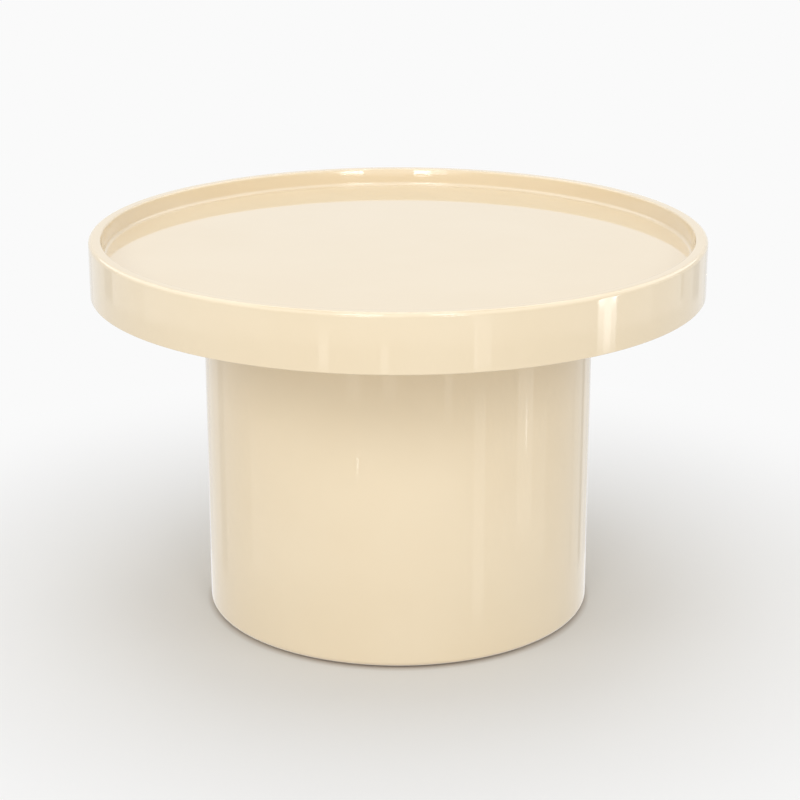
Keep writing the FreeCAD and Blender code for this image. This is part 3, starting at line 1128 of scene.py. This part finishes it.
def pale_floor(studio):
    """Matt pale floor with the table's shadow, painted shade at the drum's foot, fading into the
    white distance.
    """
    finish = Finish("pale_floor", roughness=0.9)
    finish.relief((finish.noise(scale=600.0), 0.00002))
    pale = studio.floor_colour
    mottle = finish.noise(scale=3.0, detail=4.0)
    tone = finish.colour(mottle, (NOISE_LOW, toned(pale, FLOOR_MOTTLE)), (NOISE_HIGH, pale))
    tree = finish.tree
    # Painted shade: ambient occlusion darkens and warms the floor's colour within a few
    # millimetres of the drum's foot, on top of the real shadow that the lamps cast.
    near = add_node(tree, "ShaderNodeAmbientOcclusion", {"Distance": PAINTED_SHADE_REACH})
    shade = [c * tint for c, tint in zip(pale, PAINTED_SHADE_TINT)]
    painted_shade_mix = add_node(tree, "ShaderNodeMixRGB", {
        "Fac": near.outputs["AO"], "Color1": (*shade, 1.0), "Color2": tone})
    finish.set_shader({
        "Base Color": painted_shade_mix.outputs["Color"], "Specular IOR Level": FLOOR_SHEEN})
    distance = add_node(tree, "ShaderNodeVectorMath", {0: finish.place}, operation="LENGTH")
    fade = add_node(tree, "ShaderNodeMapRange", {
        "Value": distance.outputs["Value"], "From Min": FADE_START, "From Max": FADE_END,
    }, interpolation_type="SMOOTHSTEP")
    faded = math_node(tree, "MULTIPLY", fade.outputs["Result"], seen_directly(tree))
    glow = add_node(tree, "ShaderNodeEmission", {"Strength": studio.backdrop_level})
    show_mixed(tree, tree.nodes["Material Output"], faded, finish.shader, glow)
    return finish.material


def place_round(azimuth, height, distance):
    """A point at this height, so many degrees round the table from the front."""
    turn = math.radians(azimuth)
    return Vector((distance * math.sin(turn), -distance * math.cos(turn), height))


def add_softbox(box):
    """Adds a soft rectangular light that points at the table."""
    light = bpy.data.lights.new(box.name, "AREA")
    light.shape = "RECTANGLE"
    light.size = box.width
    light.size_y = box.height
    light.energy = box.power
    rise = math.radians(box.elevation)
    height = AIM.z + SOFTBOX_DISTANCE * math.sin(rise)
    place = place_round(box.azimuth, height, SOFTBOX_DISTANCE * math.cos(rise))
    lamp = bpy.data.objects.new(box.name, light)
    lamp.location = place
    lamp.rotation_euler = (AIM - place).to_track_quat("-Z", "Y").to_euler()
    lamp.visible_camera = False
    lamp.visible_glossy = box.mirrored
    bpy.context.scene.collection.objects.link(lamp)


def card_glow(card):
    """Light that fades out towards a card's ends, and shows in the first mirrored ray alone."""
    material = bpy.data.materials.new(card.name)
    material.use_nodes = True
    material.cycles.emission_sampling = "NONE"
    tree = material.node_tree
    tree.nodes.clear()
    place = tree.nodes.new("ShaderNodeTexCoord").outputs["Generated"]
    height = add_node(tree, "ShaderNodeSeparateXYZ", {"Vector": place})
    from_end = math_node(tree, "PINGPONG", height.outputs["Z"], CARD_MIDDLE)
    feather = add_node(
        tree, "ShaderNodeMapRange", {"Value": from_end, "From Max": card.fade},
        interpolation_type="SMOOTHSTEP")
    depth = tree.nodes.new("ShaderNodeLightPath").outputs["Ray Depth"]
    first = math_node(tree, "LESS_THAN", depth, FIRST_BOUNCE_LIMIT)
    shown = math_node(tree, "MULTIPLY", feather.outputs["Result"], first)
    clear = tree.nodes.new("ShaderNodeBsdfTransparent")
    glow = add_node(tree, "ShaderNodeEmission", {"Strength": card.brightness})
    show_mixed(tree, tree.nodes.new("ShaderNodeOutputMaterial"), shown, clear, glow)
    return material


def add_card(card, distance):
    """Adds an upright card that faces the table and is seen by mirrored rays alone."""
    columns = math.ceil(card.spread / CARD_BEND)
    sides = [card.azimuth + card.spread * (k / columns - 0.5) for k in range(columns + 1)]
    corners = [place_round(side, z, distance) for z in (card.low, card.high) for side in sides]
    faces = [(k, k + 1, columns + k + 2, columns + k + 1) for k in range(columns)]
    mesh = bpy.data.meshes.new(card.name)
    mesh.from_pydata(corners, [], faces)
    mesh.materials.append(card_glow(card))
    piece = bpy.data.objects.new(card.name, mesh)
    piece.visible_camera = False
    piece.visible_diffuse = False
    piece.visible_shadow = False
    bpy.context.scene.collection.objects.link(piece)


class SIDETABLE_OT_studio(bpy.types.Operator):
    """Set up the floor, the soft lights and the camera"""
    bl_idname = "sidetable.studio"
    bl_label = "Studio"

    def execute(self, context):
        studio = context.scene.side_table.studio
        white_world(studio)
        sides = (-FLOOR_HALF_WIDTH, FLOOR_HALF_WIDTH)
        mesh = bpy.data.meshes.new("floor")
        mesh.from_pydata([(x, y, 0.0) for y in sides for x in sides], [], [(0, 1, 3, 2)])
        mesh.materials.append(pale_floor(studio))
        floor = bpy.data.objects.new("floor", mesh)
        floor.visible_glossy = False
        context.scene.collection.objects.link(floor)
        for box in SOFTBOXES:
            add_softbox(box)
        for k, card in enumerate(CARDS):
            add_card(card, CARD_DISTANCE + k * CARD_STEP)
        camera = bpy.data.objects.new("camera", bpy.data.cameras.new("camera"))
        camera.data.lens = studio.lens
        camera.location = (0.0, -studio.distance, studio.height)
        camera.rotation_euler = (math.pi / 2 - studio.pitch, 0.0, -studio.yaw)
        context.scene.collection.objects.link(camera)
        context.scene.camera = camera
        context.scene.view_settings.view_transform = "Standard"
        return {"FINISHED"}


# Panel and registration

PIECE_OPERATORS = (
    SIDETABLE_OT_tray_rim,
    SIDETABLE_OT_tray_panel,
    SIDETABLE_OT_tray_backing,
    SIDETABLE_OT_base_shell,
    SIDETABLE_OT_base_boards,
    SIDETABLE_OT_base_uprights,
    SIDETABLE_OT_tray_fixings,
    SIDETABLE_OT_frame_screws,
    SIDETABLE_OT_leveller_inserts,
    SIDETABLE_OT_levellers,
    SIDETABLE_OT_studio,
)


class SIDETABLE_PT_panel(bpy.types.Panel):
    """Lists the settings of the table and the operators that build it"""
    bl_idname = "SIDETABLE_PT_panel"
    bl_label = "Round Side Table"
    bl_space_type = "VIEW_3D"
    bl_region_type = "UI"
    bl_category = "Side Table"

    def draw(self, context):
        settings = context.scene.side_table
        for part in settings.__annotations__:
            group = getattr(settings, part)
            column = self.layout.column(align=True)
            for name in group.__annotations__:
                column.prop(group, name)
        column = self.layout.column(align=True)
        for operator in PIECE_OPERATORS:
            column.operator(operator.bl_idname)


CLASSES = (
    TrayShape,
    DrumShape,
    LacquerFinish,
    HardwareShape,
    StudioSetup,
    SideTableSettings,
    *PIECE_OPERATORS,
    SIDETABLE_PT_panel,
)


def register():
    for cls in CLASSES:
        bpy.utils.register_class(cls)
    bpy.types.Scene.side_table = PointerProperty(type=SideTableSettings)


def unregister():
    del bpy.types.Scene.side_table
    for cls in reversed(CLASSES):
        bpy.utils.unregister_class(cls)


def main():
    register()
    bpy.ops.sidetable.tray_rim()
    bpy.ops.sidetable.tray_panel()
    bpy.ops.sidetable.tray_backing()
    bpy.ops.sidetable.base_shell()
    bpy.ops.sidetable.base_boards()
    bpy.ops.sidetable.base_uprights()
    bpy.ops.sidetable.tray_fixings()
    bpy.ops.sidetable.frame_screws()
    bpy.ops.sidetable.leveller_inserts()
    bpy.ops.sidetable.levellers()
    bpy.ops.sidetable.studio()


if __name__ == "__main__":
    main()
